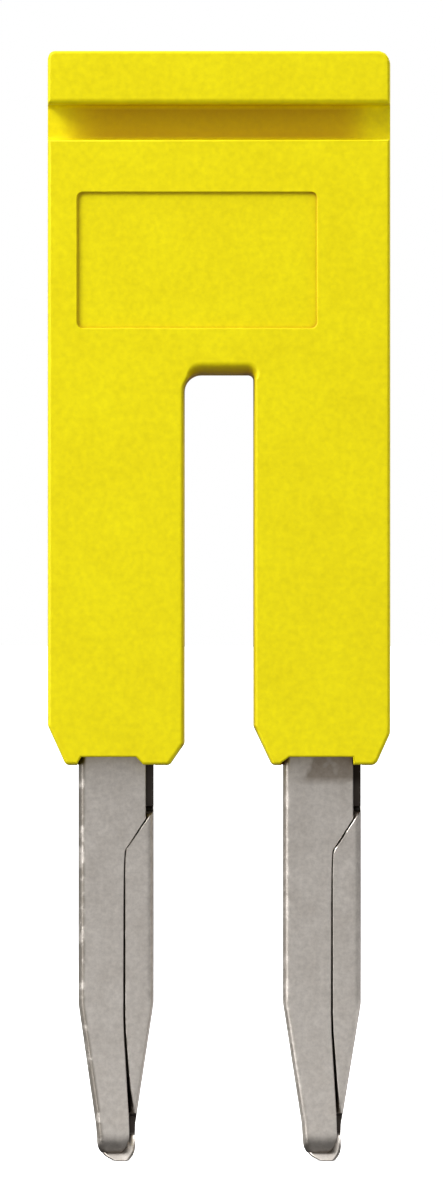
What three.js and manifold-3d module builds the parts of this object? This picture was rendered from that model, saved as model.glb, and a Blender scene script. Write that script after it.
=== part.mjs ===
// Two-pole plug-in jumper (cross-connector) for rail-mounted terminal blocks.
// A moulded insulating housing of two shells holds one stamped and folded contact comb.
// Millimetres. +Z is the pull-out direction, the pins point to -Z, the labelled front looks to -Y.
// The origin is midway between the pins, on the plane of the leg undersides that seat on the terminal.

import * as THREE from 'three';
import { mergeVertices } from 'three/addons/utils/BufferGeometryUtils.js';
import Module from 'manifold-3d';

const wasm = await Module();
wasm.setup();

// ---- Driving dimensions ------------------------------------------------------------------
const PITCH = 5.1;                 // between neighbouring terminals, so between the two pins
const LEG_WIDTH = 3.4;
const BODY_WIDTH = PITCH + LEG_WIDTH;
const BODY_HEIGHT = 17.7;
const THICKNESS = 2.8;
const SLOT_TOP = 9.67;             // ceiling of the slot between the legs

const GROOVE_BOTTOM = 15.47;       // pull-out groove under the grip head
const GROOVE_TOP = 16.35;
const FRONT_GROOVE_DEPTH = 0.9;
const REAR_GROOVE_DEPTH = 0.6;

const LABEL = { left: -3.51, right: 2.43, bottom: 10.81, top: 14.18, depth: 0.09, radius: 0.15 };

const PARTING_Y = 0.28;            // plane where the two shells meet
const PARTING_GAP = 0.04;
const FIT_GAP = 0.04;              // play between the comb and its pocket

const SHEET = 0.35;                // thickness of the comb's strip
const PIN_DEPTH = 1.3;             // the folded pin, front to back
const PIN_ROOT = 1.2;              // the fold starts this far up inside the leg
const PIN_STRAIGHT_END = -5.9;
const PIN_TAPER_END = -8.9;
const PIN_TIP = -9.8;
const PIN_TIP_WIDTH = 0.96;
const PIN_TIP_DEPTH = 0.75;
const PIN_TIP_RADIUS = 0.3;

const BAR_BOTTOM = 10.3;           // the comb's bar, which joins the pins above the slot
const BAR_TOP = 14.0;

const PEGS = [                     // moulded on the rear shell; the middle one passes through the bar
  { x: 0, z: 12.15, radius: 0.55, length: 0.75 },
  { x: -3.2, z: 17.02, radius: 0.32, length: 0.8 },
  { x: 3.2, z: 17.02, radius: 0.32, length: 0.8 },
];
const PEG_CLEARANCE = 0.06;
const ROUND_SEGMENTS = 24;
const CORNER_SEGMENTS = 5;

const FRONT = -THICKNESS / 2;
const REAR = THICKNESS / 2;
const BEYOND = 1;                  // how far cutting tools reach past the faces that they open
const PINS = {                     // the right pin is folded a little wider than the left one
  left: { centre: -PITCH / 2, half: 0.93 },
  right: { centre: PITCH / 2, half: 0.965 },
};
const COMB_LEFT = PINS.left.centre - PINS.left.half;
const COMB_RIGHT = PINS.right.centre + PINS.right.half;

// ---- Solids ------------------------------------------------------------------------------
function solidOf(geometry) {
  geometry.deleteAttribute('normal');
  geometry.deleteAttribute('uv');
  const merged = mergeVertices(geometry, 1e-5);
  return new wasm.Manifold(new wasm.Mesh({
    numProp: 3,
    vertProperties: new Float32Array(merged.attributes.position.array),
    triVerts: new Uint32Array(merged.index.array),
  }));
}

function geometryOf(solid) {
  const { vertProperties, triVerts } = solid.getMesh();
  const geometry = new THREE.BufferGeometry();
  geometry.setAttribute('position', new THREE.BufferAttribute(new Float32Array(vertProperties), 3));
  geometry.setIndex(new THREE.BufferAttribute(new Uint32Array(triVerts), 1));
  geometry.computeVertexNormals();
  return geometry;
}

// An outline drawn in X and Z, as thick as the span from y0 to y1.
function frontSlab(outline, y0, y1) {
  const shape = Array.isArray(outline) ? new THREE.Shape(outline.map(([x, z]) => new THREE.Vector2(x, z))) : outline;
  const geometry = new THREE.ExtrudeGeometry(shape, {
    depth: y1 - y0, bevelEnabled: false, curveSegments: CORNER_SEGMENTS,
  });
  geometry.rotateX(Math.PI / 2);   // the outline's second axis becomes Z, its depth runs to -Y
  geometry.translate(0, y1, 0);
  return solidOf(geometry);
}

// An outline drawn in Y and Z, as wide as the span from x0 to x1.
function sideSlab(outline, x0, x1) {
  const shape = new THREE.Shape(outline.map(([y, z]) => new THREE.Vector2(y, z)));
  const geometry = new THREE.ExtrudeGeometry(shape, { depth: x1 - x0, bevelEnabled: false });
  geometry.applyMatrix4(new THREE.Matrix4().makeBasis(
    new THREE.Vector3(0, 1, 0), new THREE.Vector3(0, 0, 1), new THREE.Vector3(1, 0, 0)));
  geometry.translate(x0, 0, 0);
  return solidOf(geometry);
}

function block(x0, x1, y0, y1, z0, z1) {
  const geometry = new THREE.BoxGeometry(x1 - x0, y1 - y0, z1 - z0);
  geometry.translate((x0 + x1) / 2, (y0 + y1) / 2, (z0 + z1) / 2);
  return solidOf(geometry);
}

// A round rod along Y.
function rod(x, z, radius, y0, y1) {
  const geometry = new THREE.CylinderGeometry(radius, radius, y1 - y0, ROUND_SEGMENTS);
  geometry.translate(x, (y0 + y1) / 2, z);
  return solidOf(geometry);
}

function roundedRectangle(left, right, bottom, top, radius) {
  const shape = new THREE.Shape();
  shape.moveTo(left + radius, bottom);
  shape.lineTo(right - radius, bottom);
  shape.absarc(right - radius, bottom + radius, radius, -Math.PI / 2, 0);
  shape.lineTo(right, top - radius);
  shape.absarc(right - radius, top - radius, radius, 0, Math.PI / 2);
  shape.lineTo(left + radius, top);
  shape.absarc(left + radius, top - radius, radius, Math.PI / 2, Math.PI);
  shape.lineTo(left, bottom + radius);
  shape.absarc(left + radius, bottom + radius, radius, Math.PI, Math.PI * 1.5);
  return shape;
}

// ---- Housing -----------------------------------------------------------------------------
// Seen from the front, the outline runs anticlockwise from the left leg's outer foot corner.
// The lead-in chamfer on the left of each leg is taller than the one on its right.
function housingOutline() {
  const edge = BODY_WIDTH / 2;
  const slot = (PITCH - LEG_WIDTH) / 2;
  const topRadius = { left: 0.2, right: 0.32 };
  const slotRadius = { left: 0.41, right: 0.13 };
  const shape = new THREE.Shape();
  shape.moveTo(-edge, 0.99);
  shape.lineTo(-edge + 0.45, 0);
  shape.lineTo(-slot - 0.37, 0);
  shape.lineTo(-slot, 0.54);
  shape.lineTo(-slot, SLOT_TOP - slotRadius.left);
  shape.absarc(-slot + slotRadius.left, SLOT_TOP - slotRadius.left, slotRadius.left, Math.PI, Math.PI / 2, true);
  shape.lineTo(slot - slotRadius.right, SLOT_TOP);
  shape.absarc(slot - slotRadius.right, SLOT_TOP - slotRadius.right, slotRadius.right, Math.PI / 2, 0, true);
  shape.lineTo(slot, 0.97);
  shape.lineTo(slot + 0.46, 0);
  shape.lineTo(edge - 0.36, 0);
  shape.lineTo(edge, 0.8);
  shape.lineTo(edge, BODY_HEIGHT - topRadius.right);
  shape.absarc(edge - topRadius.right, BODY_HEIGHT - topRadius.right, topRadius.right, 0, Math.PI / 2);
  shape.lineTo(-edge + topRadius.left, BODY_HEIGHT);
  shape.absarc(-edge + topRadius.left, BODY_HEIGHT - topRadius.left, topRadius.left, Math.PI / 2, Math.PI);
  return shape;
}

function grooveCutter(y0, y1) {
  const reach = BODY_WIDTH / 2 + BEYOND;
  return block(-reach, reach, y0, y1, GROOVE_BOTTOM, GROOVE_TOP);
}

// The pocket takes the bar, both shanks and the folded roots of the pins.
function pocketSolid(y0, y1, top) {
  const [left, right] = Object.values(PINS).map(({ centre, half }) => (
    block(centre - half - FIT_GAP, centre + half + FIT_GAP, y0, y1, -BEYOND, top)));
  return left.add(right);
}

function frontShell() {
  let shell = frontSlab(housingOutline(), FRONT, PARTING_Y - PARTING_GAP / 2);
  shell = shell.subtract(grooveCutter(FRONT - BEYOND, FRONT + FRONT_GROOVE_DEPTH));

  const label = roundedRectangle(LABEL.left, LABEL.right, LABEL.bottom, LABEL.top, LABEL.radius);
  shell = shell.subtract(frontSlab(label, FRONT - BEYOND, FRONT + LABEL.depth));

  const pocketFront = -PIN_DEPTH / 2 - FIT_GAP;
  shell = shell.subtract(pocketSolid(pocketFront, PARTING_Y + BEYOND, PIN_ROOT + 2 * FIT_GAP));

  // Shallow relief in the front wall over each pin, with slanted ends.
  const reliefHeight = 0.22;
  const reliefEnds = {
    left: { leftFoot: -0.98, leftTop: -0.86, rightTop: 0.5, rightFoot: 0.71 },
    right: { leftFoot: -1.12, leftTop: -0.81, rightTop: 0.76, rightFoot: 0.78 },
  };
  for (const [side, { centre }] of Object.entries(PINS)) {
    const { leftFoot, leftTop, rightTop, rightFoot } = reliefEnds[side];
    const outline = [
      [centre + leftFoot, 0], [centre + leftFoot, -BEYOND],
      [centre + rightFoot, -BEYOND], [centre + rightFoot, 0],
      [centre + rightTop, reliefHeight], [centre + leftTop, reliefHeight],
    ];
    shell = shell.subtract(frontSlab(outline, FRONT - BEYOND, pocketFront + FIT_GAP));
  }

  // Chamfered front edge of the slot's ceiling.
  const chamfer = { depth: 0.25, height: 0.33, halfWidth: (PITCH - LEG_WIDTH) / 2 };
  const wedge = [
    [FRONT - BEYOND, SLOT_TOP - BEYOND], [FRONT + chamfer.depth, SLOT_TOP - BEYOND],
    [FRONT + chamfer.depth, SLOT_TOP], [FRONT, SLOT_TOP + chamfer.height],
    [FRONT - BEYOND, SLOT_TOP + chamfer.height],
  ];
  shell = shell.subtract(sideSlab(wedge, -chamfer.halfWidth, chamfer.halfWidth));

  for (const peg of PEGS) {
    const depth = PARTING_Y - peg.length - PEG_CLEARANCE;
    shell = shell.subtract(rod(peg.x, peg.z, peg.radius + PEG_CLEARANCE, depth, PARTING_Y + BEYOND));
  }
  return shell;
}

function rearShell() {
  let shell = frontSlab(housingOutline(), PARTING_Y + PARTING_GAP / 2, REAR);
  shell = shell.subtract(grooveCutter(REAR - REAR_GROOVE_DEPTH, REAR + BEYOND));

  const pocketRear = PIN_DEPTH / 2 + FIT_GAP;
  const bar = block(COMB_LEFT - FIT_GAP, COMB_RIGHT + FIT_GAP, PARTING_Y - BEYOND, pocketRear,
    BAR_BOTTOM - FIT_GAP, BAR_TOP + FIT_GAP);
  shell = shell.subtract(pocketSolid(PARTING_Y - BEYOND, pocketRear, BAR_BOTTOM + FIT_GAP)).subtract(bar);

  for (const peg of PEGS) {
    shell = shell.add(rod(peg.x, peg.z, peg.radius, PARTING_Y - peg.length, pocketRear + FIT_GAP));
  }
  return shell;
}

// ---- Contact comb ------------------------------------------------------------------------
// A tapering flat tube, folded from the strip: the strip itself is its rear wall, the left wing
// covers most of the front, and the right wing closes the rest along a seam.
function foldedPin({ centre, half }) {
  const tipHalf = PIN_TIP_WIDTH / 2;
  const front = -PIN_DEPTH / 2;
  const rear = PIN_DEPTH / 2;

  const outline = new THREE.Shape();
  outline.moveTo(-half, PIN_ROOT);
  outline.lineTo(-half, PIN_STRAIGHT_END);
  outline.lineTo(-tipHalf, PIN_TAPER_END);
  outline.lineTo(-tipHalf, PIN_TIP + PIN_TIP_RADIUS);
  outline.absarc(-tipHalf + PIN_TIP_RADIUS, PIN_TIP + PIN_TIP_RADIUS, PIN_TIP_RADIUS, Math.PI, Math.PI * 1.5);
  outline.absarc(tipHalf - PIN_TIP_RADIUS, PIN_TIP + PIN_TIP_RADIUS, PIN_TIP_RADIUS, Math.PI * 1.5, Math.PI * 2);
  outline.lineTo(tipHalf, PIN_TAPER_END);
  outline.lineTo(half, PIN_STRAIGHT_END);
  outline.lineTo(half, PIN_ROOT);
  const sideOutline = [
    [front, PIN_ROOT + BEYOND], [front, PIN_TAPER_END], [-PIN_TIP_DEPTH / 2, PIN_TIP],
    [PIN_TIP_DEPTH / 2, PIN_TIP], [rear, PIN_TAPER_END], [rear, PIN_ROOT + BEYOND],
  ];
  let pin = frontSlab(outline, front, rear).intersect(sideSlab(sideOutline, -BODY_WIDTH, BODY_WIDTH));

  const hollowEnd = PIN_TAPER_END - 0.2;
  const hollow = [
    [-half + SHEET, PIN_ROOT + BEYOND], [-half + SHEET, PIN_STRAIGHT_END], [-tipHalf + SHEET, hollowEnd],
    [tipHalf - SHEET, hollowEnd], [half - SHEET, PIN_STRAIGHT_END], [half - SHEET, PIN_ROOT + BEYOND],
  ];
  pin = pin.subtract(frontSlab(hollow, front + SHEET, rear - SHEET));

  // Above the shoulder the right side is open and the front wing stops short of the rear wall.
  const shoulder = { outerZ: -1.14, innerX: 0.25, innerZ: -2.07, wingSetback: 0.12 };
  pin = pin.subtract(block(half - shoulder.wingSetback, half + BEYOND, front - BEYOND, rear - SHEET,
    shoulder.outerZ, PIN_ROOT + BEYOND));
  pin = pin.subtract(block(half - SHEET - FIT_GAP, half + BEYOND, front + SHEET, rear - SHEET,
    shoulder.outerZ, PIN_ROOT + BEYOND));

  // The shoulder's slanted slit and the seam below it, through the front wall only.
  const slit = 0.1;
  const seamEnd = { x: 0.34, z: -8.6 };
  const seam = [
    [half + slit, shoulder.outerZ + slit], [shoulder.innerX - slit / 2, shoulder.innerZ],
    [seamEnd.x - slit, seamEnd.z], [seamEnd.x, seamEnd.z],
    [shoulder.innerX + slit / 2, shoulder.innerZ - slit], [half + slit, shoulder.outerZ - slit],
  ];
  pin = pin.subtract(frontSlab(seam, front - BEYOND, front + SHEET + FIT_GAP));
  return pin.translate([centre, 0, 0]);
}

function contactComb() {
  const rear = PIN_DEPTH / 2;
  const front = rear - SHEET;
  let comb = block(COMB_LEFT, COMB_RIGHT, front, rear, BAR_BOTTOM, BAR_TOP);
  for (const pin of Object.values(PINS)) {
    comb = comb.add(block(pin.centre - pin.half, pin.centre + pin.half, front, rear, 0, BAR_TOP));
    comb = comb.add(foldedPin(pin));
  }
  const [middlePeg] = PEGS;
  return comb.subtract(rod(middlePeg.x, middlePeg.z, middlePeg.radius + PEG_CLEARANCE, front - BEYOND, rear + BEYOND));
}

// ---- Assembly ----------------------------------------------------------------------------
function piece(name, solid, color, roughness, metalness) {
  const material = new THREE.MeshStandardMaterial({ color, roughness, metalness });
  const mesh = new THREE.Mesh(geometryOf(solid), material);
  mesh.name = name;
  return mesh;
}

const jumper = new THREE.Group();
jumper.add(
  piece('housing_front_shell', frontShell(), 0xf0e314, 0.5, 0),
  piece('housing_rear_shell', rearShell(), 0xf0e314, 0.5, 0),
  piece('contact_comb', contactComb(), 0xb2aaa2, 0.35, 1),
);

export default jumper;
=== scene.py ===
"""Looks of the two-pole plug-in jumper: moulded yellow shells and a folded, tin-plated contact comb.

Shapes are worked out in millimetres in the CAD frame and scaled to metres once they are finished.
"""
import math

import bmesh
import bpy
from mathutils import Matrix, Vector


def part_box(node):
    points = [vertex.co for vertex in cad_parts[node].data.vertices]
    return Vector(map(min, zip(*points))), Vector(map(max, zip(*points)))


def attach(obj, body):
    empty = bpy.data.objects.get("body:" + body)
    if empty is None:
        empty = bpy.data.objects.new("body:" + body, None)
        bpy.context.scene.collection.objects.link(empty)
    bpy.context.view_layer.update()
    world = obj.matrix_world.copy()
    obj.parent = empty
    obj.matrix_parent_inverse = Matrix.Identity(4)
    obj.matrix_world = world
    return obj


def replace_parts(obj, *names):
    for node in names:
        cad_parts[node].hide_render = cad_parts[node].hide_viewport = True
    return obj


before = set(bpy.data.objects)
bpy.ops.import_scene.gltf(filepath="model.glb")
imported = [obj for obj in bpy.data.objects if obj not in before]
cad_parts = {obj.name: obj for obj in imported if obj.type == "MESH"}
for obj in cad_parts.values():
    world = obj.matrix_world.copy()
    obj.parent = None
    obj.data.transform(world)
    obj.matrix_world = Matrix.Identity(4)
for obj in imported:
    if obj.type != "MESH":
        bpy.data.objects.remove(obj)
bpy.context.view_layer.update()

MM = 0.001
EPS = 1e-3                                   # millimetres: what counts as the same place


def box_mm(node):
    low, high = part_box(node)
    return low / MM, high / MM


# ---- Sizes, some read from the pieces' boxes in model.glb ------------------------------
# Sizes, worked out from the frame
front_low, front_high = box_mm("housing_front_shell")
rear_high = box_mm("housing_rear_shell")[1]
comb_low, comb_high = box_mm("contact_comb")

EDGE = front_high.x                          # half the body's width
TOP = front_high.z
FRONT = front_low.y
REAR = rear_high.y
PARTING = front_high.y                       # the front shell's rear plane
SEAM_GAP = 0.04                              # between the two shells
PITCH = 5.1                                  # from pin to pin
LEG_WIDTH = 3.4
SLOT = EDGE - LEG_WIDTH                      # half the width of the slot between the legs
SLOT_TOP = 9.67
GROOVE_BOTTOM, GROOVE_TOP = 15.47, 16.35
FRONT_GROOVE_DEPTH, REAR_GROOVE_DEPTH = 0.9, 0.6
LABEL_LEFT, LABEL_RIGHT, LABEL_BOTTOM, LABEL_TOP = -3.51, 2.43, 10.81, 14.18
LABEL_DEPTH = 0.09
LABEL_CORNER = 0.15
PIN_FRONT, PIN_REAR = comb_low.y, comb_high.y
PIN_TIP = comb_low.z
COMB_LEFT, COMB_RIGHT = comb_low.x, comb_high.x
SHEET = 0.35                                 # thickness of the comb's strip
PIN_CENTRES = (-PITCH / 2, PITCH / 2)
PIN_HALVES = (-PITCH / 2 - COMB_LEFT, COMB_RIGHT - PITCH / 2)
PEGS = (                                     # x, z, radius, length
    (0, 12.15, 0.55, 0.75), (-3.2, 17.02, 0.32, 0.8), (3.2, 17.02, 0.32, 0.8))
PEG_PLAY = 0.06
FIT = 0.04                                   # play between the comb and its pocket
BEYOND = 1.0                                 # how far cutters reach past what they open
WELD = 1e-4                                  # millimetres: points closer than this become one
FINE, COARSE = 9, 15                         # degrees from point to point on an arc


# ---- Building solids -------------------------------------------------------------------
def arc(cx, cz, radius, start, end, steps):
    """Points on an arc, both ends included; angles in degrees."""
    angles = [math.radians(start + (end - start) * i / steps) for i in range(steps + 1)]
    return [(cx + radius * math.cos(a), cz + radius * math.sin(a)) for a in angles]


def quarter(steps):
    """Angles in radians from 0 to 90 degrees, both ends included."""
    return [math.radians(90 * i / steps) for i in range(steps + 1)]


def rounded(corners, degrees_per_step=FINE):
    """A closed outline from (x, z, radius) corners, each turned into an arc of that radius."""
    points = []
    for i, (x, z, radius) in enumerate(corners):
        here = Vector((x, z))
        before = (here - Vector(corners[i - 1][:2])).normalized()
        after = (Vector(corners[(i + 1) % len(corners)][:2]) - here).normalized()
        turn = math.atan2(before.x * after.y - before.y * after.x, before.dot(after))
        if not radius:
            points.append((x, z))
            continue
        centre = here - before * radius * math.tan(abs(turn) / 2)
        centre += Vector((-before.y, before.x)) * math.copysign(radius, turn)
        side = math.copysign(90, turn)
        start = math.degrees(math.atan2(before.y, before.x)) - side
        steps = max(2, round(abs(math.degrees(turn)) / degrees_per_step))
        points += arc(centre.x, centre.y, radius, start, start + math.degrees(turn), steps)
    return points


def moved_in(outline, amounts):
    """The outline, which goes round anticlockwise, with each point moved in square to its edges."""
    moved = []
    for i, (x, z) in enumerate(outline):
        here = Vector((x, z))
        before = (here - Vector(outline[i - 1])).normalized()
        after = (Vector(outline[(i + 1) % len(outline)]) - here).normalized()
        square_before = Vector((-before.y, before.x))
        square_after = Vector((-after.y, after.x))
        step = (square_before + square_after) / (1 + square_before.dot(square_after))
        moved.append(tuple(here + step * amounts[i]))
    return moved


def new_object(name, bm):
    bmesh.ops.recalc_face_normals(bm, faces=bm.faces)
    mesh = bpy.data.meshes.new(name)
    bm.to_mesh(mesh)
    bm.free()
    obj = bpy.data.objects.new(name, mesh)
    bpy.context.scene.collection.objects.link(obj)
    return obj


def loft(rings):
    """A closed solid through rings of as many 3D points each, with flat ends."""
    bm = bmesh.new()
    rows = [[bm.verts.new(p) for p in points] for points in rings]
    count = len(rows[0])
    for one, other in zip(rows, rows[1:]):
        for i in range(count):
            j = (i + 1) % count
            bm.faces.new((one[i], one[j], other[j], other[i]))
    bm.faces.new(rows[0])
    bm.faces.new(rows[-1])
    return new_object("solid", bm)


def front_prism(outline, y0, y1):
    return loft([[(x, y, z) for x, z in outline] for y in (y0, y1)])


def side_prism(outline, x0, x1):
    return loft([[(x, y, z) for y, z in outline] for x in (x0, x1)])


def block(x0, x1, y0, y1, z0, z1):
    return front_prism([(x0, z0), (x1, z0), (x1, z1), (x0, z1)], y0, y1)


def rod(x, z, radius, y0, y1, steps=40):
    return front_prism(arc(x, z, radius, 0, 360 * (steps - 1) / steps, steps - 1), y0, y1)


def baked(obj):
    """Replaces the object's mesh with what its modifiers make of it."""
    graph = bpy.context.evaluated_depsgraph_get()
    mesh = bpy.data.meshes.new_from_object(obj.evaluated_get(graph))
    obj.modifiers.clear()
    obj.data = mesh
    return obj


def combine(base, tool, operation):
    modifier = base.modifiers.new("cut", "BOOLEAN")
    modifier.operation = operation
    modifier.solver = "EXACT"
    modifier.object = tool
    baked(base)
    bpy.data.objects.remove(tool)
    return base


def cut(base, *tools):
    for tool in tools:
        combine(base, tool, "DIFFERENCE")
    return base


def join(base, *tools):
    for tool in tools:
        combine(base, tool, "UNION")
    return base


def merged(obj):
    """Merges the doubled points that the cuts left."""
    bm = bmesh.new()
    bm.from_mesh(obj.data)
    bmesh.ops.remove_doubles(bm, verts=bm.verts, dist=WELD)
    bmesh.ops.dissolve_degenerate(bm, dist=WELD, edges=bm.edges)
    bm.to_mesh(obj.data)
    bm.free()
    return obj


def finish_piece(obj, name, materials, sharp_angle=32):
    """Smooth shading with flat faces kept flat, then millimetres to metres, then onto the body."""
    merged(obj)
    for polygon in obj.data.polygons:
        polygon.use_smooth = True
    obj.data.set_sharp_from_angle(angle=math.radians(sharp_angle))
    normals = obj.modifiers.new("normals", "WEIGHTED_NORMAL")
    normals.keep_sharp = True
    normals.weight = 60
    baked(obj)
    obj.data.transform(Matrix.Scale(MM, 4))
    obj.name = name
    obj.data.name = name
    obj.data.materials.clear()
    for look in materials:
        obj.data.materials.append(look)
    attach(obj, "root")
    return obj


# ---- Housing ---------------------------------------------------------------------------
DRAFT = 0.035                                # how much wider the sides stand at the parting line
EDGE_ROUNDING = 0.08                         # where the faces meet the sides
CEILING_ROUNDING = 0.3                       # height of the rounding at the top of the slot
CEILING_DEPTH = 0.5                          # how far back that rounding reaches
CEILING_FADE = 0.13                          # height over which it grows from the edge's
PARTING_CHAMFER = 0.035
BAR_BOTTOM, BAR_TOP = 10.3, 14.0
POCKET_TOP = 1.28                            # of the front shell's pocket over each pin's root
LEFT_LEG = ((0.45, 0.99), (0.37, 0.54))      # width and height of a foot's left and right chamfers
RIGHT_LEG = ((0.46, 0.97), (0.36, 0.8))
FOOT_CORNER = 0.15
LAST_FOOT_CORNERS = (0.2, 0.3)               # the right leg's right chamfer, below and above
SLOT_CORNERS = (0.41, 0.13)                  # left and right
TOP_CORNERS = (0.2, 0.32)
RIDGES = (                                   # x, x, z, z; they close the parting line to light
    (-3.86, -3.62, 0.3, 17.5), (3.62, 3.86, 0.3, 17.5), (-3.74, 3.74, 17.4, 17.5))
RIDGE_PLAY = 0.003
RELIEF_TOP = 0.22
RELIEF_ENDS = (                              # x from the pin: left foot, left top, right top, right foot
    (-0.98, -0.86, 0.5, 0.71), (-1.12, -0.81, 0.76, 0.78))


def housing_outline():
    """Seen from the front, the outline runs anticlockwise from the left leg's outer chamfer."""
    (outer, outer_top), (inner, inner_top) = LEFT_LEG
    foot = FOOT_CORNER
    corners = [
        (-EDGE, outer_top, foot), (-EDGE + outer, 0, foot),
        (-SLOT - inner, 0, foot), (-SLOT, inner_top, foot),
        (-SLOT, SLOT_TOP, SLOT_CORNERS[0]), (SLOT, SLOT_TOP, SLOT_CORNERS[1])]
    (inner, inner_top), (outer, outer_top) = RIGHT_LEG
    corners += [
        (SLOT, inner_top, foot), (SLOT + inner, 0, foot),
        (EDGE - outer, 0, LAST_FOOT_CORNERS[0]), (EDGE, outer_top, LAST_FOOT_CORNERS[1]),
        (EDGE, TOP, TOP_CORNERS[1]), (-EDGE, TOP, TOP_CORNERS[0])]
    return rounded(corners)


def rounding_at(x, z, ceiling):
    """How round the face's edge is at a point of the outline, growing to the ceiling's rounding."""
    if abs(x) < SLOT + EPS and z > SLOT_TOP - CEILING_FADE:
        return EDGE_ROUNDING + (ceiling - EDGE_ROUNDING) * (z - SLOT_TOP + CEILING_FADE) / CEILING_FADE
    return EDGE_ROUNDING


def shell_body(face, parting, steps=6):
    """A shell before its cuts: its face's edge rounded, its sides drafted, its parting line chamfered."""
    outline = housing_outline()
    inward = 1 if parting > face else -1
    roundings = [rounding_at(x, z, CEILING_ROUNDING) for x, z in outline]
    depths = [rounding_at(x, z, CEILING_DEPTH) for x, z in outline]
    rings = []
    for angle in quarter(steps):
        ring = moved_in(outline, [DRAFT + r * (1 - math.sin(angle)) for r in roundings])
        rings.append([(x, face + inward * d * (1 - math.cos(angle)), z)
                      for (x, z), d in zip(ring, depths)])
    rings.append([(x, parting - inward * PARTING_CHAMFER, z) for x, z in outline])
    chamfered = moved_in(outline, [PARTING_CHAMFER] * len(outline))
    rings.append([(x, parting, z) for x, z in chamfered])
    return loft(rings)


def groove_cutter(face, floor):
    """Cuts the groove across the head, with rounded lips and a rounded floor."""
    inward = 1 if floor > face else -1
    upper_lip, lower_lip, fillet = 0.15, 0.06, 0.12
    upper_steps, steps = 5, 4
    depth = abs(floor - face)
    profile = [
        (-BEYOND, GROOVE_TOP + upper_lip),
        *arc(upper_lip, GROOVE_TOP + upper_lip, upper_lip, 180, 270, upper_steps),
        *arc(depth - fillet, GROOVE_TOP - fillet, fillet, 90, 0, steps),
        *arc(depth - fillet, GROOVE_BOTTOM + fillet, fillet, 0, -90, steps),
        *arc(lower_lip, GROOVE_BOTTOM - lower_lip, lower_lip, 90, 180, steps),
        (-BEYOND, GROOVE_BOTTOM - lower_lip)]
    reach = EDGE + BEYOND
    return side_prism([(face + inward * d, z) for d, z in profile], -reach, reach)


def rounded_rectangle(grow, y):
    """The label recess's outline, grown all round, at one depth."""
    radius = LABEL_CORNER + grow
    left, right = LABEL_LEFT - grow, LABEL_RIGHT + grow
    bottom, top = LABEL_BOTTOM - grow, LABEL_TOP + grow
    corners = [(right, top, radius), (left, top, radius), (left, bottom, radius), (right, bottom, radius)]
    return [(x, y, z) for x, z in rounded(corners, COARSE)]


def label_cutter(lip=0.02, fillet=0.022, steps=3):
    """Cuts the label field, with a rounded lip and a rounded floor."""
    floor = FRONT + LABEL_DEPTH
    rings = [rounded_rectangle(lip, FRONT - BEYOND)]
    for angle in quarter(steps):
        rings.append(rounded_rectangle(lip * (1 - math.sin(angle)), FRONT + lip * (1 - math.cos(angle))))
    for angle in quarter(steps):
        shrink = fillet * (math.cos(angle) - 1)
        rings.append(rounded_rectangle(shrink, floor - fillet * (1 - math.sin(angle))))
    return loft(rings)


def relief_cutter(centre, ends, lip=0.05, steps=3):
    """Opens the foot in front of a pin: a low window whose ends slant between the foot and its top."""
    left_foot, left_top, right_top, right_foot = (centre + x for x in ends)
    outline = [(left_foot, 0), (left_foot, -BEYOND), (right_foot, -BEYOND),
               (right_foot, 0), (right_top, RELIEF_TOP), (left_top, RELIEF_TOP)]
    rings = [[(x, FRONT - BEYOND, z) for x, z in moved_in(outline, [-lip] * len(outline))]]
    for angle in quarter(steps):
        grown = moved_in(outline, [lip * (math.sin(angle) - 1)] * len(outline))
        rings.append([(x, FRONT + lip * (1 - math.cos(angle)), z) for x, z in grown])
    rings.append([(x, PIN_FRONT, z) for x, z in outline])
    return loft(rings)


def pocket(y0, y1, top):
    """Makes room for each pin's root and shank, from below the feet up to the top."""
    return [block(x - half - FIT, x + half + FIT, y0, y1, -BEYOND, top)
            for x, half in zip(PIN_CENTRES, PIN_HALVES)]


def front_shell():
    shell = shell_body(FRONT, PARTING)
    cut(shell, groove_cutter(FRONT, FRONT + FRONT_GROOVE_DEPTH), label_cutter(),
        *pocket(PIN_FRONT - FIT, PARTING + BEYOND, POCKET_TOP))
    for centre, ends in zip(PIN_CENTRES, RELIEF_ENDS):
        cut(shell, relief_cutter(centre, ends))
    for x, z, radius, length in PEGS:
        cut(shell, rod(x, z, radius + PEG_PLAY, PARTING - length - PEG_PLAY, PARTING + BEYOND))
    return shell


def rear_shell():
    parting = PARTING + SEAM_GAP
    shell = cut(shell_body(REAR, parting), groove_cutter(REAR, REAR - REAR_GROOVE_DEPTH),
                *pocket(parting - BEYOND, PIN_REAR + FIT, BAR_BOTTOM + FIT),
                block(COMB_LEFT - FIT, COMB_RIGHT + FIT, parting - BEYOND, PIN_REAR + FIT,
                      BAR_BOTTOM - FIT, BAR_TOP + FIT))
    for x, z, radius, length in PEGS:
        join(shell, rod(x, z, radius, PARTING - length, PIN_REAR + 2 * FIT))
    for x0, x1, z0, z1 in RIDGES:
        join(shell, block(x0, x1, PARTING + RIDGE_PLAY, parting + FIT, z0, z1))
    return shell


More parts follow.
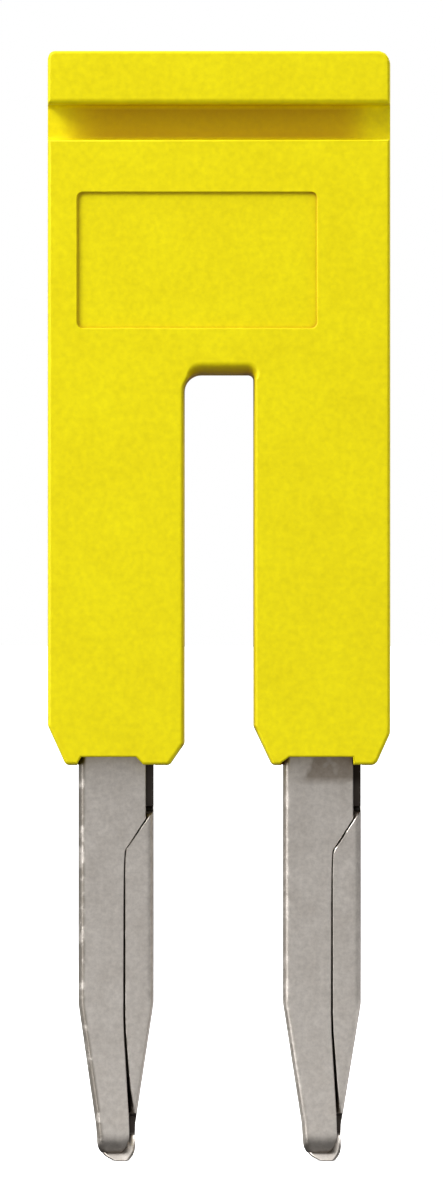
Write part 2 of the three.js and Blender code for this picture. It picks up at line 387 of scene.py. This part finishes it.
# ---- Contact comb ----------------------------------------------------------------------
FOLD_TOP = 1.2
SHOULDER = -1.02                             # where the right wing's diagonal edge starts
SEAM_TOP = -2.07
STRAIGHT_END = -5.9
TAPER_END = -8.9
WING_END = -9.62
LEFT_TAPERED, RIGHT_TAPERED = 0.5, 0.475     # from the pin's middle to its sides at the taper's end
TIP_HALF = 0.45
LEFT_UNDER = (-9.34, 0.16)                   # where each side starts to round towards the tip, and how far
FRONT_UNDER = (-9.0, 0.26)
REAR_UNDER = (-8.8, 0.2)
FRONT_WING_UNDER = (-9.08, 0.35)
FRONT_SINK = ((-7.5, 0), (-9.0, 0.04))       # height, how far the front has sunk
RIGHT_WING_END, RIGHT_WING_GONE = -8.6, -8.66
BEND = 0.2                                   # outer radius of the folds
CUT_BACK = 0.62                              # from the pin's front to the right wall's edge
EDGE_WEAR = 0.025                            # rounding of the sheet's sheared edges
PIN_SEAMS = ((0.735, 0.205, 0.04), (0.77, 0.245, 0.085))   # tab's edge, seam, rubbing at its bend


def between(z, stops):
    """The value at a height, on straight stretches between (height, value) stops listed downwards."""
    for (upper, a), (lower, b) in zip(stops, stops[1:]):
        if z >= lower:
            share = min(max((upper - z) / (upper - lower), 0), 1)
            return a + (b - a) * share
    return stops[-1][1]


def turned_under(z, start, amount):
    """How far a rounded end has drawn in at a height, as a quarter of an ellipse."""
    share = min(max((start - z) / (start - WING_END), 0), 1)
    return amount * (1 - math.sqrt(1 - share * share))


class Fold:
    """The outside of a pin at one height: a rounded box, walked from its front centre round by the left."""

    def __init__(self, z, half):
        self.left = between(z, [(STRAIGHT_END, half), (TAPER_END, LEFT_TAPERED), (WING_END, TIP_HALF)])
        self.right = between(z, [(STRAIGHT_END, half), (TAPER_END, RIGHT_TAPERED), (WING_END, TIP_HALF)])
        self.left -= turned_under(z, *LEFT_UNDER)
        self.front = -PIN_FRONT - turned_under(z, *FRONT_UNDER) - between(z, FRONT_SINK)
        self.rear = PIN_REAR - turned_under(z, *REAR_UNDER)
        depth = self.front + self.rear - 2 * BEND
        width = self.left + self.right - 2 * BEND
        bend = BEND * math.pi / 2
        self.lengths = [self.left - BEND, bend, depth, bend, width, bend, depth, bend, self.right - BEND]
        self.total = sum(self.lengths)

    def point(self, way):
        """The point that far round, going left from the middle of the front."""
        left, right, front, rear = (v - BEND for v in (self.left, self.right, self.front, self.rear))
        corners = [(-left, -front, -90), (-left, rear, -180), (right, rear, -270), (right, -front, -360)]
        if way <= self.lengths[0]:
            return Vector((-way, -self.front))
        way -= self.lengths[0]
        starts = [(-self.left, -front, 0, 1), (-left, self.rear, 1, 0), (self.right, rear, 0, -1),
                  (right, -self.front, -1, 0)]
        for i, (x, y, start) in enumerate(corners):
            if way <= self.lengths[1]:
                angle = math.radians(start) - way / BEND
                return Vector((x + BEND * math.cos(angle), y + BEND * math.sin(angle)))
            way -= self.lengths[1]
            x, y, along_x, along_y = starts[i]
            if way <= self.lengths[2 + 2 * i] or i == 3:
                return Vector((x + along_x * way, y + along_y * way))
            way -= self.lengths[2 + 2 * i]

    def way_to_right(self, x):
        """How far round the right wing's edge is, when it stands at x on the front or in the bend."""
        over = x - (self.right - BEND)
        if over <= 0:
            return self.total - x
        angle = math.acos(min(over / BEND, 1))
        return self.total - self.lengths[8] - BEND * (math.pi / 2 - angle)

    def way_to_depth(self, depth):
        """How far round the right wall's edge is, when it stands that far behind the front."""
        return self.total - self.lengths[8] - self.lengths[7] - (depth - BEND)


def fold_heights():
    """Heights of the folded sheet's rows, downwards, and closer together where its edges slant."""
    heights = [FOLD_TOP, 0.3, -0.6]
    for top, bottom, rows in ((-0.95, -1.4, 15), (-1.46, -2.3, 14), (-2.5, -5.5, 5), (-5.7, -6.1, 4),
                              (-6.6, -8.0, 4), (-8.15, -9.0, 17), (-9.04, WING_END, 15)):
        heights += [top + (bottom - top) * i / rows for i in range(rows + 1)]
    return heights


def front_wing_edge(z, tab, seam):
    """Where the front wing's free edge stands at a height."""
    edge = between(z, [(SHOULDER - 0.3, tab), (SEAM_TOP - 0.03, seam + 0.02), (-2.4, seam),
                       (-2.9, seam - 0.005), (-3.2, seam - 0.012), (-6.4, seam - 0.02),
                       (-8.6, seam + 0.11), (-9.3, seam + 0.13)])
    return edge - turned_under(z, *FRONT_WING_UNDER)


def right_edge(fold, z, seam):
    """How far round the right-hand wall and wing reach at a height."""
    slant = 0.14                             # height over which the edge comes forward to the corner
    corner_x = fold.right - 0.03
    cut_back = fold.way_to_depth(CUT_BACK)
    if z >= SHOULDER:
        return cut_back
    if z > SHOULDER - slant:
        corner = fold.way_to_right(corner_x)
        return cut_back + (corner - cut_back) * (SHOULDER - z) / slant
    wing = between(z, [(SHOULDER - slant, corner_x), (SEAM_TOP, seam + 0.04), (-2.4, seam + 0.02),
                       (-3.2, seam + 0.018), (-6.4, seam + 0.022), (-7.9, seam + 0.14),
                       (RIGHT_WING_END, 0.47)])
    corner = fold.way_to_right(min(wing, fold.right))
    if z > RIGHT_WING_END:
        return corner
    back = between(z, [(RIGHT_WING_END, 0.0), (RIGHT_WING_GONE, 1.0)])
    return corner + (cut_back - corner) * back


def sheet_row(z, half, tab, seam, rub):
    """Outer and inner points across the folded sheet at one height."""
    fold = Fold(z, half)
    first = -front_wing_edge(z, tab, seam)
    last = right_edge(fold, z, seam)
    left_steps, right_steps, end_gap = 5, 6, 0.1
    run = fold.lengths[0] - first - EDGE_WEAR
    marks = [first + EDGE_WEAR + run * i / left_steps for i in range(left_steps)]
    way = fold.lengths[0]
    for length, steps in zip(fold.lengths[1:8], (7, 2, 7, 2, 7, 6, 7)):      # bends and walls in turn
        marks += [way + length * i / steps for i in range(steps)]
        way += length
    marks += [way + (fold.total - end_gap - way) * i / right_steps for i in range(right_steps + 1)]
    wear = between(z, [(-1.3, 0.02), (-1.6, 0.4 * rub), (-1.8, rub), (-2.04, rub), (-2.2, EDGE_WEAR)])
    marks = [min(mark, last - wear) for mark in marks]

    least = 0.03                             # how narrow the inside may get
    inner_left, inner_right, inner_front, inner_rear = (
        max(side - SHEET, least) for side in (fold.left, fold.right, fold.front, fold.rear))
    wing_ends = fold.lengths[0]

    def inside(way, point):
        reach_right = inner_right if way > wing_ends else max(inner_right, tab)
        x = min(max(point.x, -inner_left), reach_right)
        return Vector((x, min(max(point.y, -inner_front), inner_rear)))

    outer, inner = [], []

    def add_worn(edge, inward, size, angle):
        """Adds a point of a wing's worn edge, which rounds towards the inside of the sheet."""
        way = edge + inward * size * (1 - math.sin(angle))
        point = fold.point(way)
        below = inside(way, point)
        outer.append(point + (below - point).normalized() * size * (1 - math.cos(angle)))
        inner.append(below)

    turns = [math.radians(a) for a in (90, 60, 30)]
    for angle in turns:
        add_worn(first, 1, EDGE_WEAR, angle)
    for way in marks:
        point = fold.point(way)
        outer.append(point)
        inner.append(inside(way, point))
    for angle in reversed(turns):
        add_worn(last, -1, wear, angle)
    return [(p.x, p.y, z) for p in outer], [(p.x, p.y, z) for p in inner]


def folded_sheet(half, tab, seam, rub):
    """The sheet folded into a box section: a closed skin over rows of outer and inner points."""
    bm = bmesh.new()
    known = {}

    def vertex(point):
        key = tuple(round(c, 4) for c in point)
        if key not in known:
            known[key] = bm.verts.new(point)
        return known[key]

    def face(*points):
        corners = []
        for point in points:
            corner = vertex(point)
            if corner not in corners:
                corners.append(corner)
        if len(corners) > 2 and not bm.faces.get(corners):
            bm.faces.new(corners)

    rows = [sheet_row(z, half, tab, seam, rub) for z in fold_heights()]
    for (outer, inner), (outer_below, inner_below) in zip(rows, rows[1:]):
        for skin, below in ((outer, outer_below), (inner_below, inner)):
            for i in range(len(skin) - 1):
                face(skin[i], skin[i + 1], below[i + 1], below[i])
        for i in (0, -1):
            face(outer[i], inner[i], inner_below[i], outer_below[i])
    for outer, inner in (rows[0], rows[-1]):
        for i in range(len(outer) - 1):
            face(outer[i], outer[i + 1], inner[i + 1], inner[i])
    return new_object("sheet", bm)


TONGUE = (                                   # height, left, right, front, rear, corner radius
    (-8.7, -0.25, 0.3, 0.1, 0.5, 0.08), (-9.1, -0.32, 0.45, 0.05, 0.48, 0.1),
    (-9.2, -0.34, 0.465, -0.08, 0.46, 0.1), (-9.35, -0.36, 0.475, -0.24, 0.43, 0.1),
    (-9.45, -0.385, 0.475, -0.31, 0.4, 0.1), (-9.56, -0.37, 0.46, -0.39, 0.36, 0.1),
    (-9.65, -0.3, 0.425, -0.45, 0.32, 0.1), (-9.72, -0.2, 0.375, -0.49, 0.27, 0.1),
    (-9.775, -0.08, 0.32, -0.53, 0.21, 0.09), (PIN_TIP, 0.02, 0.24, -0.5, 0.1, 0.05))


def tongue():
    """The rear wall's end, bent forward under the wings to close the tip."""
    rings = []
    for z, left, right, front, rear, radius in TONGUE:
        corners = [(left, front, radius), (right, front, radius),
                   (right, rear, radius), (left, rear, radius)]
        rings.append([(x, y, z) for x, y in rounded(corners, COARSE)])
    return loft(rings)


def contact_comb():
    rear, front = PIN_REAR, PIN_REAR - SHEET
    shank_end = 0.6                          # the flat shanks end inside the folded roots
    left_inside, right_inside = PIN_CENTRES[0] + PIN_HALVES[0], PIN_CENTRES[1] - PIN_HALVES[1]
    comb = front_prism([
        (COMB_LEFT, shank_end), (left_inside, shank_end),
        (left_inside, BAR_BOTTOM), (right_inside, BAR_BOTTOM),
        (right_inside, shank_end), (COMB_RIGHT, shank_end),
        (COMB_RIGHT, BAR_TOP), (COMB_LEFT, BAR_TOP)], front, rear)
    x, z, radius, _ = PEGS[0]
    cut(comb, rod(x, z, radius + PEG_PLAY, front - BEYOND, rear + BEYOND))
    for centre, half, (tab, seam, rub) in zip(PIN_CENTRES, PIN_HALVES, PIN_SEAMS):
        pin = join(folded_sheet(half, tab, seam, rub), tongue())
        pin.data.transform(Matrix.Translation((centre, 0, 0)))
        join(comb, pin)
    return comb


# ---- Materials -------------------------------------------------------------------------
def material(name):
    made = bpy.data.materials.new(name)
    made.use_nodes = True
    tree = made.node_tree
    shader = tree.nodes["Principled BSDF"]
    coords = tree.nodes.new("ShaderNodeTexCoord")
    scale = tree.nodes.new("ShaderNodeMapping")          # millimetres from here on
    scale.inputs["Scale"].default_value = (1 / MM,) * 3
    tree.links.new(coords.outputs["Object"], scale.inputs["Vector"])
    return made, tree, shader, scale.outputs["Vector"]


def noise(tree, vector, size, detail=3.0, roughness=0.55, stretch=None):
    """Noise with features of about that many millimetres."""
    if stretch:
        mapping = tree.nodes.new("ShaderNodeMapping")
        mapping.inputs["Scale"].default_value = stretch
        tree.links.new(vector, mapping.inputs["Vector"])
        vector = mapping.outputs["Vector"]
    node = tree.nodes.new("ShaderNodeTexNoise")
    node.inputs["Scale"].default_value = 1 / size
    node.inputs["Detail"].default_value = detail
    node.inputs["Roughness"].default_value = roughness
    tree.links.new(vector, node.inputs["Vector"])
    return node.outputs["Fac"]


def ramp(tree, factor, stops):
    node = tree.nodes.new("ShaderNodeValToRGB")
    elements = node.color_ramp.elements
    while len(elements) > 1:
        elements.remove(elements[0])
    elements[0].position, elements[0].color = stops[0][0], (*stops[0][1], 1)
    for position, color in stops[1:]:
        elements.new(position).color = (*color, 1)
    tree.links.new(factor, node.inputs["Fac"])
    return node.outputs["Color"]


def remap(tree, factor, low, high, from_low=0.3, from_high=0.7):
    node = tree.nodes.new("ShaderNodeMapRange")
    node.inputs["From Min"].default_value = from_low
    node.inputs["From Max"].default_value = from_high
    node.inputs["To Min"].default_value = low
    node.inputs["To Max"].default_value = high
    tree.links.new(factor, node.inputs["Value"])
    return node.outputs["Result"]


def mix(tree, a, b, factor, blend="MIX"):
    node = tree.nodes.new("ShaderNodeMix")
    node.data_type = "RGBA"
    node.blend_type = blend
    for socket, value in ((node.inputs["Factor"], factor), (node.inputs["A"], a), (node.inputs["B"], b)):
        if isinstance(value, bpy.types.NodeSocket):
            tree.links.new(value, socket)
        else:
            socket.default_value = value
    return node.outputs["Result"]


def bump(tree, height, strength, distance_mm, normal=None):
    node = tree.nodes.new("ShaderNodeBump")
    node.inputs["Strength"].default_value = strength
    node.inputs["Distance"].default_value = distance_mm * MM
    tree.links.new(height, node.inputs["Height"])
    if normal:
        tree.links.new(normal, node.inputs["Normal"])
    return node.outputs["Normal"]


def place_mask(tree, where, axis, low, high):
    """0 at low and 1 at high, in millimetres along one axis; low may be the larger."""
    split = tree.nodes.new("ShaderNodeSeparateXYZ")
    tree.links.new(where, split.inputs["Vector"])
    return remap(tree, split.outputs[axis], 0, 1, low, high)


def chained(tree, operation, factors):
    result = factors[0]
    for factor in factors[1:]:
        node = tree.nodes.new("ShaderNodeMath")
        node.operation = operation
        tree.links.new(result, node.inputs[0])
        tree.links.new(factor, node.inputs[1])
        result = node.outputs["Value"]
    return result


def product(tree, *factors):
    return chained(tree, "MULTIPLY", factors)


def either(tree, *factors):
    return chained(tree, "MAXIMUM", factors)


def openness(tree, reach_mm, low, high):
    """1 on open faces and 0 in corners and grooves."""
    node = tree.nodes.new("ShaderNodeAmbientOcclusion")
    node.samples = 12
    node.inputs["Distance"].default_value = reach_mm * MM
    return remap(tree, node.outputs["AO"], 0, 1, low, high)


def normal_axis(tree, geometry, axis):
    split = tree.nodes.new("ShaderNodeSeparateXYZ")
    tree.links.new(geometry.outputs["Normal"], split.inputs["Vector"])
    return split.outputs[axis]


def yellow_plastic():
    """Moulded plastic: cloudy and finely grained, with painted shade in grooves, corners and the slot, and
    painted light at the groove's ends.
    """
    made, tree, shader, where = material("housing_plastic")
    cloud = noise(tree, where, size=1.6, detail=3)
    grain = noise(tree, where, size=0.16, detail=4, roughness=0.6)
    base = ramp(tree, cloud, [(0.3, (0.84, 0.715, 0.001)), (0.7, (0.88, 0.765, 0.0015))])
    speck = ramp(tree, grain, [(0.3, (0.88, 0.87, 0.8)), (0.7, (1.0, 1.0, 1.0))])
    surface = mix(tree, base, speck, 1.0, "MULTIPLY")

    painted_groove_shade = (0.44, 0.18, 0.0008, 1)        # painted shade in grooves and corners, left out near the body's sides as painted light at the groove's ends
    left_end = place_mask(tree, where, "X", -EDGE + 1.7, -EDGE + 0.3)
    right_end = place_mask(tree, where, "X", EDGE - 1.6, EDGE - 0.5)
    lit = either(tree, openness(tree, reach_mm=0.9, low=0.35, high=0.85), left_end, right_end)

    painted_slot_shade = (0.52, 0.42, 0.2, 1)      # painted shade in the slot, strongest on its downward-facing ceiling
    inner, outer = SLOT + 0.06, SLOT + 0.12
    geometry = tree.nodes.new("ShaderNodeNewGeometry")
    depth_way = normal_axis(tree, geometry, "Y")
    not_front = remap(tree, depth_way, 0, 1, from_low=-0.97, from_high=-0.8)
    not_rear = remap(tree, depth_way, 1, 0, from_low=0.8, from_high=0.97)
    faces_down = remap(tree, normal_axis(tree, geometry, "Z"), 1, 0.4, from_low=-0.75, from_high=-0.15)
    slot = product(tree, place_mask(tree, where, "X", -outer, -inner),
                   place_mask(tree, where, "X", outer, inner),
                   place_mask(tree, where, "Z", SLOT_TOP + 0.34, SLOT_TOP + 0.04),
                   faces_down, not_front, not_rear)
    shaded = mix(tree, mix(tree, painted_groove_shade, surface, lit), painted_slot_shade, slot, "MULTIPLY")
    tree.links.new(shaded, shader.inputs["Base Color"])

    tree.links.new(remap(tree, grain, 0.40, 0.52), shader.inputs["Roughness"])
    waves = noise(tree, where, size=0.9, detail=1)
    waviness = bump(tree, waves, strength=0.25, distance_mm=0.02)
    grained = bump(tree, grain, strength=0.3, distance_mm=0.006, normal=waviness)
    tree.links.new(grained, shader.inputs["Normal"])
    shader.inputs["IOR"].default_value = 1.5
    shader.inputs["Specular IOR Level"].default_value = 0.22
    return made


def tin_plating():
    """Tin plating: cloudy and pitted, with painted shade inside the folds, in corners, on the left-facing
    bends and under the housing at the right pin's top.
    """
    made, tree, shader, where = material("tinned_copper")
    cloud = noise(tree, where, size=0.55, detail=4, roughness=0.6)
    streaks = noise(tree, where, size=0.12, detail=3, roughness=0.5, stretch=(1, 1, 0.12))
    grain = noise(tree, where, size=0.13, detail=3, roughness=0.65)
    base = ramp(tree, cloud, [(0.3, (0.81, 0.745, 0.675)), (0.7, (0.96, 0.895, 0.825))])
    drawn = ramp(tree, streaks, [(0.35, (0.97, 0.97, 0.97)), (0.65, (1.0, 1.0, 1.0))])
    pitted = ramp(tree, grain, [(0.3, (0.8, 0.795, 0.79)), (0.7, (1.0, 1.0, 1.0))])
    plated = mix(tree, mix(tree, base, drawn, 1.0, "MULTIPLY"), pitted, 1.0, "MULTIPLY")

    painted_fold_shade = (0.09, 0.075, 0.065, 1)           # painted shade inside the fold and on upward faces above the shoulder, where the sheet lies in deep shadow
    forward_and_up = (0, -1, 0.9)
    geometry = tree.nodes.new("ShaderNodeNewGeometry")
    towards = tree.nodes.new("ShaderNodeVectorMath")
    towards.operation = "DOT_PRODUCT"
    towards.inputs[1].default_value = forward_and_up
    tree.links.new(geometry.outputs["True Normal"], towards.inputs[0])
    faces_out = remap(tree, towards.outputs["Value"], 0, 1, from_low=0.3, from_high=0.6)
    faces_up = remap(tree, normal_axis(tree, geometry, "Z"), 0, 1, from_low=0.3, from_high=0.6)
    shoulder = product(tree, faces_up, place_mask(tree, where, "Z", SHOULDER - 0.3, SHOULDER - 0.2))
    inside = product(tree, faces_out, place_mask(tree, where, "Y", PIN_FRONT + 0.12, PIN_FRONT + 0.2),
                     place_mask(tree, where, "Z", -9.2, -9.1))
    fold_shaded_tin = mix(tree, mix(tree, plated, painted_fold_shade, inside), painted_fold_shade, shoulder)

    left_bend_shade = (0.42, 0.41, 0.39, 1)         # painted shade on the left-facing bends, stronger on the left pin, dulling their highlight
    blotches = noise(tree, where, size=0.35, detail=3, roughness=0.6)
    faces_left = product(
        tree, remap(tree, normal_axis(tree, geometry, "X"), 1, 0, from_low=-0.35, from_high=-0.05),
        remap(tree, normal_axis(tree, geometry, "Y"), 1, 0, from_low=-0.3, from_high=-0.05))
    left_bend_shade_mask = product(tree, remap(tree, blotches, 0.2, 1, from_low=0.38, from_high=0.5), faces_left,
                     place_mask(tree, where, "X", 5, -1.5))
    left_shaded_tin = mix(tree, fold_shaded_tin, left_bend_shade, left_bend_shade_mask, "MULTIPLY")

    housing_shadow_tint = (0.52, 0.48, 0.44, 1)       # painted shadow of the housing at the top of the right pin
    cloudy = remap(tree, noise(tree, where, size=0.6, detail=2), 0.35, 1, from_low=0.38, from_high=0.5)
    housing_shadow_mask = product(tree, cloudy, place_mask(tree, where, "Z", -0.5, -0.28),
                    place_mask(tree, where, "X", 1.7, 2.2))
    housing_shadowed_tin = mix(tree, left_shaded_tin, housing_shadow_tint, housing_shadow_mask, "MULTIPLY")

    # painted shade in corners, in the seam and under the housing's edges
    painted_corner_shade = (0.42, 0.4, 0.38)
    open_faces = openness(tree, reach_mm=1.1, low=0.2, high=0.8)
    shade = ramp(tree, open_faces, [(0, painted_corner_shade), (1, (1, 1, 1))])
    tree.links.new(mix(tree, housing_shadowed_tin, shade, 1.0, "MULTIPLY"), shader.inputs["Base Color"])

    shader.inputs["Metallic"].default_value = 1.0
    tree.links.new(remap(tree, cloud, 0.28, 0.40), shader.inputs["Roughness"])
    uneven = bump(tree, noise(tree, where, size=0.45, detail=3), strength=0.35, distance_mm=0.012)
    grained = bump(tree, grain, strength=0.25, distance_mm=0.004, normal=uneven)
    tree.links.new(grained, shader.inputs["Normal"])
    return made


def pale_floor():
    made, tree, shader, where = material("floor_paper")
    fibres = noise(tree, where, size=40, detail=2)
    paper = ramp(tree, fibres, [(0.3, (0.93, 0.93, 0.93)), (0.7, (0.95, 0.95, 0.95))])
    tree.links.new(paper, shader.inputs["Base Color"])
    shader.inputs["Roughness"].default_value = 0.9
    shader.inputs["Emission Color"].default_value = (1, 1, 1, 1)
    shader.inputs["Emission Strength"].default_value = 0.8
    return made


def card_paint(name, grey):
    made = bpy.data.materials.new(name)
    made.use_nodes = True
    shader = made.node_tree.nodes["Principled BSDF"]
    shader.inputs["Base Color"].default_value = (0, 0, 0, 1)
    shader.inputs["Specular IOR Level"].default_value = 0
    shader.inputs["Emission Color"].default_value = (1, 1, 1, 1)
    shader.inputs["Emission Strength"].default_value = grey
    return made


# ---- Stage -----------------------------------------------------------------------------
LIGHTS = (                                   # name, place, width, height, radiance
    ("key", (-110, -90, 120), 90, 90, 12.5),
    ("left_strip", (-150, -80, 0), 16, 160, 4.0),
    ("back_key", (80, 130, 100), 110, 110, 7.0))
LIT_POINT = (0, 0, 4)
FILLS = (("left_fill", -1, 1.5), ("right_fill", 1, 2.5))        # name, side, radiance
FILL_PLACE, FILL_POINT, FILL_SIZE = (110, -40, 20), (0, 0, 12), 80
CARD_BOTTOM = PIN_TIP + 1                    # just above the floor
CARDS = (                                    # name, x, x, y, y, z, z, grey
    ("front_card", -170, 170, -210, -208, CARD_BOTTOM, 190, 0.26),
    ("back_card", -180, 180, 208, 210, -120, 150, 0.12),
    ("right_card", 118, 120, -150, 260, CARD_BOTTOM, 150, 0.06),
    ("left_card", -202, -200, -170, 0, CARD_BOTTOM, 150, 0.5),
    ("left_back_card", -202, -200, 2, 320, CARD_BOTTOM, 150, 0.3))
FLOOR_REACH, FLOOR_THICKNESS = 4000, 2


def area_light(name, place, target, width, height, radiance):
    light = bpy.data.lights.new(name, "AREA")
    light.shape = "RECTANGLE"
    light.size, light.size_y = width * MM, height * MM
    light.energy = radiance * math.pi * light.size * light.size_y
    obj = bpy.data.objects.new(name, light)
    obj.location = Vector(place) * MM
    obj.rotation_euler = (Vector(target) - Vector(place)).to_track_quat("-Z", "Y").to_euler()
    obj.visible_camera = False
    bpy.context.scene.collection.objects.link(obj)
    return obj


def card(name, x0, x1, y0, y1, z0, z1, grey):
    """A studio flag that the camera doesn't see: it shapes what the object reflects."""
    obj = block(x0, x1, y0, y1, z0, z1)
    obj.data.transform(Matrix.Scale(MM, 4))
    obj.name = name
    obj.data.materials.append(card_paint(name, grey))
    obj.visible_camera = False
    return obj


def studio_world():
    """White above the horizon and dim below it, as seen by reflections, which the floor lets through."""
    world = bpy.data.worlds.new("studio")
    world.use_nodes = True
    tree = world.node_tree
    coords = tree.nodes.new("ShaderNodeTexCoord")
    split = tree.nodes.new("ShaderNodeSeparateXYZ")
    tree.links.new(coords.outputs["Generated"], split.inputs["Vector"])
    below_horizon = remap(tree, split.outputs["Z"], 0, 1, from_low=-1.0, from_high=0.0)
    shade = ramp(tree, below_horizon, [(0, (0.35,) * 3), (0.5, (0.04,) * 3), (0.95, (1, 1, 1))])
    tree.links.new(shade, tree.nodes["Background"].inputs["Color"])
    return world


def stage():
    scene = bpy.context.scene
    scene.view_settings.view_transform = "Standard"
    scene.world = studio_world()

    floor = block(-FLOOR_REACH, FLOOR_REACH, -FLOOR_REACH, FLOOR_REACH, PIN_TIP - FLOOR_THICKNESS, PIN_TIP)
    floor.data.transform(Matrix.Scale(MM, 4))
    floor.name = "floor"
    floor.data.materials.append(pale_floor())
    floor.visible_glossy = False
    floor.visible_diffuse = False

    cards = {row[0]: card(*row) for row in CARDS}
    cards["back_card"].visible_diffuse = False
    cards["back_card"].visible_shadow = False

    for name, place, width, height, radiance in LIGHTS:
        area_light(name, place, LIT_POINT, width, height, radiance)
    across, y, z = FILL_PLACE
    for name, side, radiance in FILLS:
        fill = area_light(name, (across * side, y, z), FILL_POINT, FILL_SIZE, FILL_SIZE, radiance)
        fill.visible_glossy = False


def camera():
    frame_height = 29.64                     # millimetres across the picture's long side
    distance = 360.0                         # far off, so that the sides barely recede
    across, up = 0.062, 4.10
    data = bpy.data.cameras.new("camera")
    data.sensor_width = 36
    data.lens = data.sensor_width * distance / frame_height
    data.clip_start, data.clip_end = 0.001, 10
    obj = bpy.data.objects.new("camera", data)
    obj.location = (across * MM, (FRONT - distance) * MM, up * MM)
    obj.rotation_euler = (math.radians(90), 0, 0)
    bpy.context.scene.collection.objects.link(obj)
    bpy.context.scene.camera = obj


# ---- Assembly --------------------------------------------------------------------------
camera()
stage()
plastic = yellow_plastic()
tin = tin_plating()
for build, name in ((front_shell, "housing_front_shell"), (rear_shell, "housing_rear_shell")):
    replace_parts(finish_piece(build(), name + "_look", [plastic]), name)
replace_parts(finish_piece(contact_comb(), "contact_comb_look", [tin]), "contact_comb")
